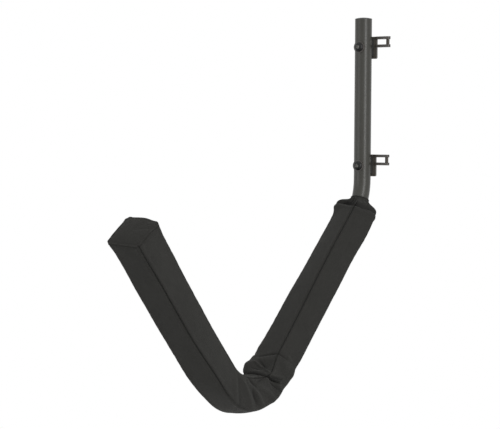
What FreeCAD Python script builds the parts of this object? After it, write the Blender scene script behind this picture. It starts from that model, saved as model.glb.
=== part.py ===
import FreeCAD, Part
import math
import os
from types import SimpleNamespace

import Sketcher

# Padded wall hanger: a bent steel tube hangs from two side hinges and holds a long hull in a
# foam-padded V. The frame has +Z up, +X to the right for someone who faces the wall and +Y into
# the wall. The origin is on the hinge axis, midway between the ears of the lower hinge.

doc = FreeCAD.newDocument("wall_hanger")
sheet = doc.addObject("Spreadsheet::Sheet", "Sheet")

# Driving sizes in millimetres and degrees
SIZES = [
    ("tube_dia", 25.4, "outside diameter of the bent tube"),
    ("tube_wall", 2.0, "wall of the tube"),
    ("top_margin", 41.5, "upper bolt to the cut top of the tube"),
    ("bolt_spacing", 177.0, "distance between the two bracket bolts"),
    ("corner_drop", 54.0, "lower bolt to the corner of the upper bend"),
    ("upper_turn", 49.0, "turn of the upper bend, degrees"),
    ("upper_bend_radius", 76.0, "centreline radius of the upper bend"),
    ("wall_arm_length", 436.5, "upper corner to the corner of the V"),
    ("vee_turn", 90.0, "turn of the bend at the bottom of the V, degrees"),
    ("vee_bend_radius", 102.0, "centreline radius of the bend at the bottom of the V"),
    ("outer_arm_length", 348.0, "corner of the V to the cut end of the tube"),
    ("hinge_side", 33.0, "hinge axis to the plane of the V"),
    ("saddle_thick", 1.2, "saddle between tube and plate, at its thinnest"),
    ("saddle_width", 20.0, "width of the saddle"),
    ("saddle_height", 25.0, "height of the saddle"),
    ("saddle_wrap", 4.0, "how far the saddle reaches round the tube"),
    ("seat_play", 0.05, "radial clearance of saddle and washer on the tube"),
    ("plate_width", 30.0, "width of the hinge plate"),
    ("plate_height", 33.0, "height of the hinge plate"),
    ("plate_thick", 3.5, "thickness of the hinge plate"),
    ("plate_corner", 2.0, "corner radius of the hinge plate"),
    ("ear_thick", 4.0, "thickness of a hinge ear"),
    ("ear_gap", 8.0, "space between the two ears of a hinge"),
    ("ear_radius", 4.0, "radius of the ear round the pin"),
    ("pin_dia", 5.0, "diameter of the hinge pin"),
    ("pin_play", 0.05, "radial running clearance of the pin"),
    ("pin_chamfer", 0.4, "chamfer at the ends of the pin"),
    ("bolt_dia", 8.0, "shank of the bracket bolt"),
    ("bolt_play", 0.25, "radial clearance of the bolt in its holes"),
    ("bolt_end", 2.0, "bolt showing past the nut"),
    ("head_dia", 14.0, "diameter of the button head"),
    ("head_rim", 0.9, "straight rim of the button head"),
    ("head_height", 4.4, "height of the button head"),
    ("socket_flats", 5.0, "width across the flats of the hexagon socket"),
    ("socket_depth", 2.8, "depth of the hexagon socket"),
    ("washer_dia", 17.0, "curved washer under the bolt head"),
    ("washer_seat", 1.6, "thickness of the curved washer on the crest of the tube"),
    ("washer_wrap", 2.2, "how far the curved washer reaches round the tube"),
    ("nut_washer_dia", 16.0, "flat washer under the nut"),
    ("nut_washer_thick", 1.6, "thickness of the flat washer"),
    ("nut_flats", 13.0, "width across the flats of the lock nut"),
    ("nut_height", 6.5, "height of the hexagon of the lock nut"),
    ("nut_collar_dia", 11.8, "diameter of the collar of the lock nut"),
    ("nut_collar_height", 1.5, "height of the collar of the lock nut"),
    ("thread_play", 0.05, "radial clearance between nut and bolt"),
    ("cap_rim", 1.2, "straight rim of an end cap"),
    ("cap_dome", 1.8, "rise of the dome of an end cap"),
    ("spigot_length", 12.0, "length of an end cap inside the tube"),
    ("spigot_play", 0.1, "radial clearance of an end cap inside the tube"),
    ("pad_start", 24.0, "upper corner to the neck end of the foam"),
    ("pad_side", 45.6, "width of the pad over the crowns of its faces"),
    ("crown_radius", 150.0, "radius of the crown of each face of the pad"),
    ("corner_radius", 7.5, "radius of the long edges of the pad"),
    ("cover_thick", 1.2, "thickness of the fabric cover"),
    ("cover_play", 0.2, "clearance between foam and cover"),
    ("seam_gap", 0.3, "gap between two panels at a seam"),
    ("bore_play", 0.3, "radial clearance between tube and foam"),
    ("foam_joint_reach", 120.0, "corner of the V to the joint between the two foams"),
    ("foam_joint_gap", 0.3, "gap at the joint between the two foams"),
    ("tip_padding", 11.0, "foam past the cut end of the tube"),
    ("tip_thick", 3.0, "thickness of the sewn end panel at the tip"),
    ("tip_round", 2.5, "rounded rim of the end panel at the tip"),
    ("neck_thick", 10.0, "thickness of the padded end at the neck"),
    ("neck_round", 6.5, "rounded rim of the padded end at the neck"),
    ("collar_thick", 1.8, "thickness of the gathered collar round the tube"),
    ("collar_length", 8.0, "length of the gathered collar"),
]
HINGES = ("lower", "upper")
SQUARE_TO_WALL = 90.0
HALF_TURN = 180.0
X_BACK = FreeCAD.Vector(-1, 0, 0)


class Size:
    """A size known both as a number and as a formula of the sheet's cells."""

    def __init__(self, number, formula):
        self.number = number
        self.formula = formula

    def __add__(self, other):
        other = as_size(other)
        return Size(self.number + other.number, f"({self.formula} + {other.formula})")

    def __sub__(self, other):
        other = as_size(other)
        return Size(self.number - other.number, f"({self.formula} - {other.formula})")

    def __mul__(self, other):
        other = as_size(other)
        return Size(self.number * other.number, f"({self.formula} * {other.formula})")

    def __truediv__(self, other):
        other = as_size(other)
        return Size(self.number / other.number, f"({self.formula} / {other.formula})")

    def __neg__(self):
        return Size(-self.number, f"(-{self.formula})")


def as_size(value):
    return value if isinstance(value, Size) else Size(float(value), repr(float(value)))


def sine(angle):
    return Size(math.sin(math.radians(angle.number)), f"sin({angle.formula})")


def cosine(angle):
    return Size(math.cos(math.radians(angle.number)), f"cos({angle.formula})")


def fill_sheet():
    """Write the driving sizes to the sheet and return them by name."""
    for row, (name, value, note) in enumerate(SIZES, start=1):
        sheet.set(f"A{row}", note)
        sheet.set(f"B{row}", str(value))
        sheet.setAlias(f"B{row}", name)
    doc.recompute()
    return SimpleNamespace(**{name: Size(float(sheet.get(name)), f"Sheet.{name}") for name, _, _ in SIZES})


dim = fill_sheet()

# Places that several pieces share
tube_radius = dim.tube_dia / 2
bore_radius = tube_radius - dim.tube_wall
hole_radius = dim.bolt_dia / 2 + dim.bolt_play
tube_x = -dim.hinge_side
plate_back = dim.plate_thick / 2
tube_y = -(tube_radius + dim.saddle_thick + dim.plate_thick / 2)
head_y = tube_y - tube_radius - dim.washer_seat
nut_y = plate_back + dim.nut_washer_thick
lower_bolt_z = dim.ear_thick + dim.ear_gap / 2 - dim.plate_height / 2
bolt_z = {"lower": lower_bolt_z, "upper": lower_bolt_z + dim.bolt_spacing}
tube_top_z = bolt_z["upper"] + dim.top_margin
corner_z = lower_bolt_z - dim.corner_drop
full_turn = dim.upper_turn + dim.vee_turn


def along(start, length, turn):
    """Point at a length from start, in the V's plane, for a run turned from straight down."""
    return start[0] - length * sine(turn), start[1] - length * cosine(turn)


upper_corner = (tube_y, corner_z)
vee_corner = along(upper_corner, dim.wall_arm_length, dim.upper_turn)
tube_tip = along(vee_corner, dim.outer_arm_length, full_turn)
pad_neck = along(upper_corner, dim.pad_start, dim.upper_turn)
pad_tip = along(tube_tip, dim.tip_padding, full_turn)


def place(piece, x=None, y=None, z=None, tilt=None):
    """Place a piece; tilt turns it about -X, so that what points down swings to the room."""
    base = [as_size(0 if value is None else value) for value in (x, y, z)]
    angle = as_size(0 if tilt is None else tilt)
    piece.Placement = FreeCAD.Placement(
        FreeCAD.Vector(*[value.number for value in base]), FreeCAD.Rotation(X_BACK, angle.number)
    )
    for axis, value in zip("xyz", base):
        piece.setExpression(f"Placement.Base.{axis}", value.formula)
    if isinstance(tilt, Size):
        piece.setExpression("Placement.Rotation.Angle", angle.formula)
    return piece


def new_body(label):
    body = doc.addObject("PartDesign::Body", label)
    body.Label = label
    return body


def new_sketch(body, name, role, offset=None):
    """Sketch on one of the body's own origin planes, lifted by an offset along its normal."""
    sketch = body.newObject("Sketcher::SketchObject", f"{body.Name}_{name}")
    plane = next(item for item in body.Origin.OriginFeatures if item.Role == role)
    sketch.AttachmentSupport = [(plane, "")]
    sketch.MapMode = "FlatFace"
    if offset is not None:
        sketch.setExpression("AttachmentOffset.Base.z", offset.formula)
    return sketch


def bind(sketch, kind, *arguments):
    """Add a constraint whose value, the last argument, follows the sheet."""
    value = arguments[-1]
    index = sketch.addConstraint(Sketcher.Constraint(kind, *arguments[:-1], value.number))
    sketch.setExpression(f"Constraints[{index}]", value.formula)


def relate(sketch, kind, *arguments):
    sketch.addConstraint(Sketcher.Constraint(kind, *arguments))


def fix_point(sketch, edge, end, x, y):
    """Hold an edge's end at a place; None puts it on the sketch's axis."""
    for axis, kind, value in ((-2, "DistanceX", x), (-1, "DistanceY", y)):
        if value is None:
            relate(sketch, "PointOnObject", edge, end, axis)
        else:
            bind(sketch, kind, -1, 1, edge, end, value)


def flat_point(x, y):
    return FreeCAD.Vector(x.number if x else 0, y.number if y else 0, 0)


def add_outline(sketch, corners):
    """Closed outline of straight edges through the given corners."""
    first = sketch.GeometryCount
    points = [flat_point(*corner) for corner in corners]
    count = len(points)
    for index in range(count):
        sketch.addGeometry(Part.LineSegment(points[index], points[(index + 1) % count]), False)
    for index, corner in enumerate(corners):
        relate(sketch, "Coincident", first + index, 2, first + (index + 1) % count, 1)
        fix_point(sketch, first + index, 1, *corner)


def add_circle(sketch, radius, x=None, y=None):
    edge = sketch.addGeometry(Part.Circle(flat_point(x, y), FreeCAD.Vector(0, 0, 1), radius.number), False)
    fix_point(sketch, edge, 3, x, y)
    bind(sketch, "Radius", edge, radius)


def add_hexagon(sketch, flats):
    """Hexagon about the sketch's origin, given its width across flats."""
    reach = flats / math.sqrt(3)
    half = flats / 2
    add_outline(
        sketch,
        [
            (reach, None),
            (reach / 2, half),
            (-reach / 2, half),
            (-reach, None),
            (-reach / 2, -half),
            (reach / 2, -half),
        ],
    )


def arc_between(centre, radius, start, end):
    """Arc edge in the XY plane between two angles in radians."""
    angles = (start, (start + end) / 2, end)
    points = [centre + radius * FreeCAD.Vector(math.cos(a), math.sin(a), 0) for a in angles]
    return Part.Arc(*points).toShape()


def pad_feature(body, sketch, length, centred=False):
    feature = body.newObject("PartDesign::Pad", f"{sketch.Name}_pad")
    feature.Profile = sketch
    feature.Midplane = centred
    feature.setExpression("Length", length.formula)
    sketch.Visibility = False
    doc.recompute()
    return feature


def pocket_feature(body, sketch, length=None):
    """Cut along the sketch's normal by a length, or right through both ways when none is given."""
    feature = body.newObject("PartDesign::Pocket", f"{sketch.Name}_pocket")
    feature.Profile = sketch
    if length is None:
        feature.Type = "ThroughAll"
        feature.Midplane = True
    else:
        feature.Reversed = True
        feature.setExpression("Length", length.formula)
    before = feature.BaseFeature.Shape.Volume
    doc.recompute()
    if feature.Shape.Volume >= before:
        raise RuntimeError(f"{feature.Name} cuts nothing")
    return feature


def add_bent_path(sketch, legs, turns, radii):
    """Path of straight legs joined by tangent arcs, from the origin straight down.

    Construction lines run from corner to corner; each leg's straight part lies on its line.
    """
    corners = [(None, None)]
    reached = (as_size(0), as_size(0))
    heading = as_size(0)
    headings = []
    for index, leg in enumerate(legs):
        heading = heading + turns[index - 1] if index else heading
        headings.append(math.radians(heading.number))
        reached = along(reached, leg, heading)
        corners.append((reached[0] if index else None, reached[1]))
    points = [flat_point(*corner) for corner in corners]
    count = len(legs)
    for index in range(count):
        sketch.addGeometry(Part.LineSegment(points[index], points[index + 1]), True)
        fix_point(sketch, index, 2, *corners[index + 1])
        before = (-1, 1) if index == 0 else (index - 1, 2)
        relate(sketch, "Coincident", index, 1, *before)
    ways = [FreeCAD.Vector(-math.sin(a), -math.cos(a), 0) for a in headings]
    trims = [radii[i].number * math.tan(math.radians(turns[i].number) / 2) for i in range(count - 1)]
    trims = [0.0, *trims, 0.0]
    for index in range(count):
        start = points[index] + ways[index] * trims[index]
        end = points[index + 1] - ways[index] * trims[index + 1]
        sketch.addGeometry(Part.LineSegment(start, end), False)
    for index in range(count - 1):
        inward = FreeCAD.Vector(-math.cos(headings[index]), math.sin(headings[index]), 0)
        start = points[index + 1] - ways[index] * trims[index + 1]
        centre = start + inward * radii[index].number
        circle = Part.Circle(centre, FreeCAD.Vector(0, 0, 1), radii[index].number)
        sketch.addGeometry(Part.ArcOfCircle(circle, -headings[index + 1], -headings[index]), False)
    for index in range(count):
        straight = count + index
        ends = ((1, index == 0, 1), (2, index == count - 1, 2))
        for end, at_path_end, leg_end in ends:
            if at_path_end:
                relate(sketch, "Coincident", straight, end, index, leg_end)
            else:
                relate(sketch, "PointOnObject", straight, end, index)
    for index in range(count - 1):
        arc = 2 * count + index
        relate(sketch, "Tangent", count + index, 2, arc, 2)
        relate(sketch, "Tangent", arc, 1, count + index + 1, 1)
        bind(sketch, "Radius", arc, radii[index])


def make_tube():
    """Hollow tube: straight mast, upper bend, wall-side arm, bend of the V and outer arm."""
    body = new_body("hanger_tube")
    path = new_sketch(body, "path", "YZ_Plane")
    add_bent_path(
        path,
        (tube_top_z - corner_z, dim.wall_arm_length, dim.outer_arm_length),
        (dim.upper_turn, dim.vee_turn),
        (dim.upper_bend_radius, dim.vee_bend_radius),
    )
    section = new_sketch(body, "section", "XY_Plane")
    add_circle(section, tube_radius)
    add_circle(section, bore_radius)
    doc.recompute()
    pipe = body.newObject("PartDesign::AdditivePipe", "hanger_tube_pipe")
    pipe.Profile = section
    pipe.Spine = (path, [f"Edge{index + 1}" for index in range(len(path.Shape.Edges))])
    doc.recompute()
    holes = new_sketch(body, "holes", "XZ_Plane")
    for name in HINGES:
        add_circle(holes, hole_radius, None, bolt_z[name] - tube_top_z)
    pocket_feature(body, holes)
    return place(body, tube_x, tube_y, tube_top_z)


def make_domed_stud(label, head_radius, rim, height, stem_radius, stem_length):
    """Turned piece with a domed head towards -Z and a plain stem along +Z."""
    body = new_body(label)
    sketch = new_sketch(body, "profile", "XZ_Plane")
    crest = -height
    shoulder = -rim
    corners = [
        (head_radius, shoulder),
        (head_radius, None),
        (stem_radius, None),
        (stem_radius, stem_length),
        (None, stem_length),
        (None, crest),
    ]
    points = [flat_point(*corner) for corner in corners]
    for index in range(len(points) - 1):
        sketch.addGeometry(Part.LineSegment(points[index], points[index + 1]), False)
    rise = height.number - rim.number
    dome_radius = (head_radius.number ** 2 + rise ** 2) / (2 * rise)
    centre = FreeCAD.Vector(0, dome_radius - height.number, 0)
    edge_angle = math.atan2(-rim.number - centre.y, head_radius.number)
    dome = Part.ArcOfCircle(
        Part.Circle(centre, FreeCAD.Vector(0, 0, 1), dome_radius), -math.pi / 2, edge_angle
    )
    arc = sketch.addGeometry(dome, False)
    for index, corner in enumerate(corners[:-1]):
        fix_point(sketch, index, 1, *corner)
        if index:
            relate(sketch, "Coincident", index - 1, 2, index, 1)
    fix_point(sketch, arc - 1, 2, *corners[-1])
    relate(sketch, "Coincident", arc, 1, arc - 1, 2)
    relate(sketch, "Coincident", arc, 2, 0, 1)
    relate(sketch, "PointOnObject", arc, 3, -2)
    turned = body.newObject("PartDesign::Revolution", f"{label}_turned")
    turned.Profile = sketch
    turned.ReferenceAxis = (sketch, ["V_Axis"])
    turned.Angle = 360.0
    doc.recompute()
    return body


def make_end_cap(label, centre, tilt):
    """Plug with a low dome that closes an end of the tube."""
    cap = make_domed_stud(
        label,
        tube_radius,
        dim.cap_rim,
        dim.cap_rim + dim.cap_dome,
        bore_radius - dim.spigot_play,
        dim.spigot_length,
    )
    return place(cap, tube_x, *centre, tilt)


def make_bolt(name):
    """Button-head bolt with a hexagon socket, head to the room."""
    length = (
        nut_y - head_y + dim.nut_height + dim.nut_collar_height + dim.bolt_end
    )
    body = make_domed_stud(
        f"{name}_bolt", dim.head_dia / 2, dim.head_rim, dim.head_height, dim.bolt_dia / 2, length
    )
    socket = new_sketch(body, "socket", "XY_Plane", -dim.head_height)
    add_hexagon(socket, dim.socket_flats)
    pocket_feature(body, socket, dim.socket_depth)
    return place(body, tube_x, head_y, bolt_z[name], SQUARE_TO_WALL)


def make_lock_nut(name):
    """Hexagon nut with a round locking collar on its outer end."""
    body = new_body(f"{name}_lock_nut")
    thread_radius = dim.bolt_dia / 2 + dim.thread_play
    hexagon = new_sketch(body, "hexagon", "XY_Plane")
    add_hexagon(hexagon, dim.nut_flats)
    add_circle(hexagon, thread_radius)
    pad_feature(body, hexagon, dim.nut_height)
    collar = new_sketch(body, "collar", "XY_Plane", dim.nut_height)
    add_circle(collar, dim.nut_collar_dia / 2)
    add_circle(collar, thread_radius)
    pad_feature(body, collar, dim.nut_collar_height)
    return place(body, tube_x, nut_y, bolt_z[name], SQUARE_TO_WALL)


def make_nut_washer(name):
    body = new_body(f"{name}_nut_washer")
    ring = new_sketch(body, "ring", "XY_Plane")
    add_circle(ring, dim.nut_washer_dia / 2)
    add_circle(ring, hole_radius)
    pad_feature(body, ring, dim.nut_washer_thick)
    return place(body, tube_x, plate_back, bolt_z[name], SQUARE_TO_WALL)


def cylinder(name, radius, height, *where):
    piece = doc.addObject("Part::Cylinder", name)
    piece.setExpression("Radius", radius.formula)
    piece.setExpression("Height", height.formula)
    return place(piece, *where)


def cut(label, base, tool):
    piece = doc.addObject("Part::Cut", label)
    piece.Label = label
    piece.Base = base
    piece.Tool = tool
    return piece


def cut_for_tube_and_bolt(label, blank, name, height):
    """Cut the seat of the tube and the hole of the bolt out of a blank."""
    seat_height = height * 2
    seat = cylinder(
        f"{label}_seat", tube_radius + dim.seat_play, seat_height, tube_x, tube_y, bolt_z[name] - height
    )
    reach = nut_y - head_y
    hole = cylinder(f"{label}_hole", hole_radius, reach, tube_x, head_y, bolt_z[name], SQUARE_TO_WALL)
    return cut(label, cut(f"{label}_seated", blank, seat), hole)


def make_saddle(name):
    """Shaped spacer that carries the round tube on the flat plate."""
    label = f"{name}_saddle"
    blank = doc.addObject("Part::Box", f"{label}_blank")
    blank.setExpression("Length", dim.saddle_width.formula)
    blank.setExpression("Width", (dim.saddle_wrap + dim.saddle_thick).formula)
    blank.setExpression("Height", dim.saddle_height.formula)
    place(
        blank,
        tube_x - dim.saddle_width / 2,
        tube_y + tube_radius - dim.saddle_wrap,
        bolt_z[name] - dim.saddle_height / 2,
    )
    return cut_for_tube_and_bolt(label, blank, name, dim.saddle_height)


def make_bolt_washer(name):
    """Round washer with a curved back that sits on the room side of the tube."""
    label = f"{name}_bolt_washer"
    blank = cylinder(
        f"{label}_blank",
        dim.washer_dia / 2,
        dim.washer_seat + dim.washer_wrap,
        tube_x,
        head_y,
        bolt_z[name],
        SQUARE_TO_WALL,
    )
    return cut_for_tube_and_bolt(label, blank, name, dim.washer_dia)


def make_hinge_plate(name):
    """Flat plate behind the tube, with the bolt through its middle."""
    body = new_body(f"{name}_hinge_plate")
    sketch = new_sketch(body, "outline", "XZ_Plane")
    half_width = dim.plate_width / 2
    half_height = dim.plate_height / 2
    add_outline(
        sketch,
        [
            (half_width, half_height),
            (-half_width, half_height),
            (-half_width, -half_height),
            (half_width, -half_height),
        ],
    )
    add_circle(sketch, hole_radius)
    blank = pad_feature(body, sketch, dim.plate_thick, centred=True)
    upright = [
        f"Edge{index}"
        for index, edge in enumerate(blank.Shape.Edges, start=1)
        if isinstance(edge.Curve, Part.Line) and edge.BoundBox.YLength > dim.plate_thick.number / 2
        and abs(abs(edge.CenterOfMass.x) - half_width.number) < dim.bolt_play.number
    ]
    rounds = body.newObject("PartDesign::Fillet", f"{body.Name}_corners")
    rounds.Base = (blank, upright)
    rounds.setExpression("Radius", dim.plate_corner.formula)
    return place(body, tube_x, None, bolt_z[name])


def make_hinge_ear(name, side, middle_z):
    """Lug welded to the edge of the plate, with a round end about the hinge pin."""
    body = new_body(f"{name}_hinge_ear_{side}")
    sketch = new_sketch(body, "outline", "XY_Plane")
    root_x = tube_x + dim.plate_width / 2
    radius = dim.ear_radius
    corners = [(None, radius), (root_x, radius), (root_x, -radius), (None, -radius)]
    points = [flat_point(*corner) for corner in corners]
    for index in range(3):
        sketch.addGeometry(Part.LineSegment(points[index], points[index + 1]), False)
    circle = Part.Circle(FreeCAD.Vector(), FreeCAD.Vector(0, 0, 1), radius.number)
    nose = sketch.addGeometry(Part.ArcOfCircle(circle, -math.pi / 2, math.pi / 2), False)
    relate(sketch, "Coincident", nose, 3, -1, 1)
    relate(sketch, "Coincident", nose, 2, 0, 1)
    relate(sketch, "Coincident", nose, 1, 2, 2)
    fix_point(sketch, 0, 1, *corners[0])
    for index in (1, 2):
        relate(sketch, "Coincident", index - 1, 2, index, 1)
        fix_point(sketch, index, 1, *corners[index])
    relate(sketch, "PointOnObject", 2, 2, -2)
    add_circle(sketch, dim.pin_dia / 2 + dim.pin_play)
    pad_feature(body, sketch, dim.ear_thick, centred=True)
    return place(body, None, None, middle_z)


def make_hinge_pin(name, middle_z):
    """Plain pin through both ears, flush with their outer faces."""
    body = new_body(f"{name}_hinge_pin")
    sketch = new_sketch(body, "section", "XY_Plane")
    add_circle(sketch, dim.pin_dia / 2)
    blank = pad_feature(body, sketch, dim.ear_gap + dim.ear_thick * 2, centred=True)
    rims = [
        f"Edge{index}"
        for index, edge in enumerate(blank.Shape.Edges, start=1)
        if isinstance(edge.Curve, Part.Circle)
    ]
    chamfer = body.newObject("PartDesign::Chamfer", f"{body.Name}_ends")
    chamfer.Base = (blank, rims)
    chamfer.setExpression("Size", dim.pin_chamfer.formula)
    return place(body, None, None, middle_z)


def make_hinge(name):
    """All the pieces of one hinge bracket and its bolt."""
    top_ear_z = bolt_z[name] + dim.plate_height / 2 - dim.ear_thick / 2
    ear_pitch = dim.ear_thick + dim.ear_gap
    return [
        make_saddle(name),
        make_hinge_plate(name),
        make_hinge_ear(name, "top", top_ear_z),
        make_hinge_ear(name, "bottom", top_ear_z - ear_pitch),
        make_hinge_pin(name, top_ear_z - ear_pitch / 2),
        make_bolt(name),
        make_bolt_washer(name),
        make_nut_washer(name),
        make_lock_nut(name),
    ]


def pad_section():
    """Centre of a corner arc of the pad and the angle where it meets the crowned face.

    The face's arc has its centre on the far side of the pad; both arcs are tangent, so their
    centres lie crown_radius - corner_radius apart.
    """
    face_back = dim.crown_radius.number - dim.pad_side.number / 2
    apart = dim.crown_radius.number - dim.corner_radius.number
    corner_at = (math.sqrt(2 * apart ** 2 - face_back ** 2) - face_back) / 2
    return corner_at, face_back, math.atan2(corner_at, corner_at + face_back)


def face_arcs(inset, end_angle):
    """Arcs of the +X face at a depth below the surface, from one corner to the other."""
    corner_at, face_back, meet = pad_section()
    corner = dim.corner_radius.number - inset
    crown = dim.crown_radius.number - inset
    upper = FreeCAD.Vector(corner_at, corner_at, 0)
    lower = FreeCAD.Vector(corner_at, -corner_at, 0)
    middle = FreeCAD.Vector(-face_back, 0, 0)
    return [
        arc_between(upper, corner, end_angle, meet),
        arc_between(middle, crown, meet, -meet),
        arc_between(lower, corner, -meet, -end_angle),
    ]


def quarter_turned(shape, quarters):
    turned = shape.copy()
    turned.rotate(FreeCAD.Vector(), FreeCAD.Vector(0, 0, 1), SQUARE_TO_WALL * quarters)
    return turned


def square_profile(inset):
    """Whole crowned square of the pad at a depth below its surface."""
    side = face_arcs(inset, math.pi / 4)
    edges = [quarter_turned(edge, quarters) for quarters in range(4) for edge in side]
    return Part.Wire(Part.__sortEdges__(edges))


def panel_profile(quarters):
    """Strip of cover over one face, from seam to seam; seams lie on the corners."""
    end_angle = math.pi / 4 - dim.seam_gap.number / 2 / dim.corner_radius.number
    outer = face_arcs(0.0, end_angle)
    inner = face_arcs(dim.cover_thick.number, end_angle)
    ends = [
        Part.makeLine(outer[0].firstVertex(True).Point, inner[0].firstVertex(True).Point),
        Part.makeLine(outer[2].lastVertex(True).Point, inner[2].lastVertex(True).Point),
    ]
    edges = Part.__sortEdges__(outer + inner + ends)
    return quarter_turned(Part.Wire(edges), quarters)


def in_plane(y, z):
    return FreeCAD.Vector(0, y, z)


def pad_route(start, end, upper_bend=False):
    """Centreline in the pad's frame, whose origin is the foam's neck end with the arm along -Z.

    start is a depth below the neck end and end a length past the corner of the V; with
    upper_bend the line starts on the arc of the upper bend, where the tube enters the pad.
    """
    corner = dim.wall_arm_length.number - dim.pad_start.number
    radius = dim.vee_bend_radius.number
    turn = math.radians(dim.vee_turn.number)
    trim = radius * math.tan(turn / 2)
    centre = in_plane(-radius, trim - corner)

    def on_vee(angle):
        return centre + in_plane(radius * math.cos(angle), -radius * math.sin(angle))

    way = in_plane(-math.sin(turn), -math.cos(turn))
    tip = in_plane(0, -corner) + way * end
    edges = []
    first = in_plane(0, -start)
    if upper_bend:
        bend = dim.upper_bend_radius.number
        swing = math.radians(dim.upper_turn.number)
        first = in_plane(0, dim.pad_start.number - bend * math.tan(swing / 2))
        middle = first - in_plane(bend, 0)
        rise = [middle + in_plane(bend * math.cos(a), bend * math.sin(a)) for a in (swing, swing / 2, 0)]
        edges.append(Part.Arc(*rise).toShape())
    edges.append(Part.makeLine(first, on_vee(0)))
    edges.append(Part.Arc(on_vee(0), on_vee(turn / 2), on_vee(turn)).toShape())
    edges.append(Part.makeLine(on_vee(turn), tip))
    return Part.Wire(edges)


def swept(route, profile):
    """Solid of a profile, drawn in the XY plane, along a route in the pad's frame."""
    start = route.Edges[0]
    at = start.valueAt(start.FirstParameter)
    heading = start.tangentAt(start.FirstParameter)
    section = profile.copy()
    section.Placement = FreeCAD.Placement(
        at, FreeCAD.Rotation(FreeCAD.Vector(0, 0, -1), heading)
    ).multiply(section.Placement)
    return route.makePipeShell([section], True, False)


def round_profile(radius):
    return Part.Wire(Part.makeCircle(radius))


def tube_space(extra):
    """Room that the tube and its tip cap take inside the pad, wider by an extra all round."""
    end = dim.outer_arm_length + dim.cap_rim + dim.cap_dome + dim.bore_play
    return swept(pad_route(0.0, end.number, upper_bend=True), round_profile(tube_radius.number + extra))


def make_soft(label, shape, origin, tilt):
    piece = doc.addObject("Part::Feature", label)
    piece.Label = label
    piece.Shape = shape
    return place(piece, tube_x, *origin, tilt)


def in_pad(label, shape):
    return make_soft(label, shape, pad_neck, dim.upper_turn)


def make_foams():
    """Foam of the wall-side arm, and foam of the bend and the outer arm, both bored for the tube."""
    inset = (dim.cover_thick + dim.cover_play).number
    joint = (dim.wall_arm_length - dim.pad_start - dim.foam_joint_reach).number
    pad_end = (dim.outer_arm_length + dim.tip_padding).number
    space = tube_space(dim.bore_play.number)
    wall_face = Part.Face(square_profile(inset))
    wall_foam = wall_face.extrude(in_plane(0, -joint))
    outer_foam = swept(pad_route(joint + dim.foam_joint_gap.number, pad_end), square_profile(inset))
    return [
        in_pad("foam_wall_arm", wall_foam.cut(space)),
        in_pad("foam_outer_arm", outer_foam.cut(space)),
    ]


def make_cover_panels():
    """Four long panels of the cover, each over one face of the pad."""
    pad_end = (dim.outer_arm_length + dim.tip_padding).number
    route = pad_route(0.0, pad_end)
    faces = ("right", "outer", "left", "inner")
    return [
        in_pad(f"cover_{face}_panel", swept(route, panel_profile(quarters)))
        for quarters, face in enumerate(faces)
    ]


def rounded_block(thickness, rim_radius):
    """Crowned square block from the XY plane along +Z or -Z with its far rim rounded."""
    block = Part.Face(square_profile(0.0)).extrude(in_plane(0, thickness))
    rim = [edge for edge in block.Edges if abs(edge.CenterOfMass.z - thickness) < abs(thickness) / 100]
    return block.makeFillet(rim_radius, rim)


def make_cover_ends():
    """Sewn panel at the tip, padded end at the neck and the collar gathered round the tube."""
    tip = rounded_block(-dim.tip_thick.number, dim.tip_round.number)
    neck = rounded_block(dim.neck_thick.number, dim.neck_round.number)
    tube_clear = tube_space(dim.bore_play.number)
    collar_outer = tube_space((dim.bore_play + dim.collar_thick).number)
    width = dim.pad_side.number
    slab = Part.makeBox(
        width, width, dim.collar_length.number, FreeCAD.Vector(-width / 2, -width / 2, dim.neck_thick.number)
    )
    return [
        make_soft("cover_tip_panel", tip, pad_tip, full_turn),
        in_pad("cover_neck_panel", neck.cut(tube_clear)),
        in_pad("neck_collar", collar_outer.cut(tube_clear).common(slab)),
    ]


def check_and_write(pieces):
    """Stop on any failed object, then write one file for each piece."""
    doc.recompute()
    for item in doc.Objects:
        if "Invalid" in item.State or "Error" in item.State:
            raise RuntimeError(f"{item.Name}: {item.State}")
    for piece in pieces:
        if piece.Shape.isNull() or not piece.Shape.isValid() or not piece.Shape.Solids:
            raise RuntimeError(f"{piece.Label} has no valid solid")
    os.makedirs("parts", exist_ok=True)
    for piece in pieces:
        piece.Shape.exportStep(f"parts/{piece.Label}.step")
        box = piece.Shape.BoundBox
        print(
            f"{piece.Label}: {len(piece.Shape.Solids)} solid, {piece.Shape.Volume:.0f} mm3,"
            f" X {box.XMin:.1f}..{box.XMax:.1f} Y {box.YMin:.1f}..{box.YMax:.1f} Z {box.ZMin:.1f}..{box.ZMax:.1f}"
        )


pieces = [
    make_tube(),
    make_end_cap("top_end_cap", (tube_y, tube_top_z), HALF_TURN),
    make_end_cap("tip_end_cap", tube_tip, full_turn),
]
for hinge in HINGES:
    pieces += make_hinge(hinge)
pieces += make_foams()
pieces += make_cover_panels()
pieces += make_cover_ends()
check_and_write(pieces)
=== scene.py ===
"""Padded wall hanger: cloth-covered foam V, coated tube and black hardware, set up for a studio view."""

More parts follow.
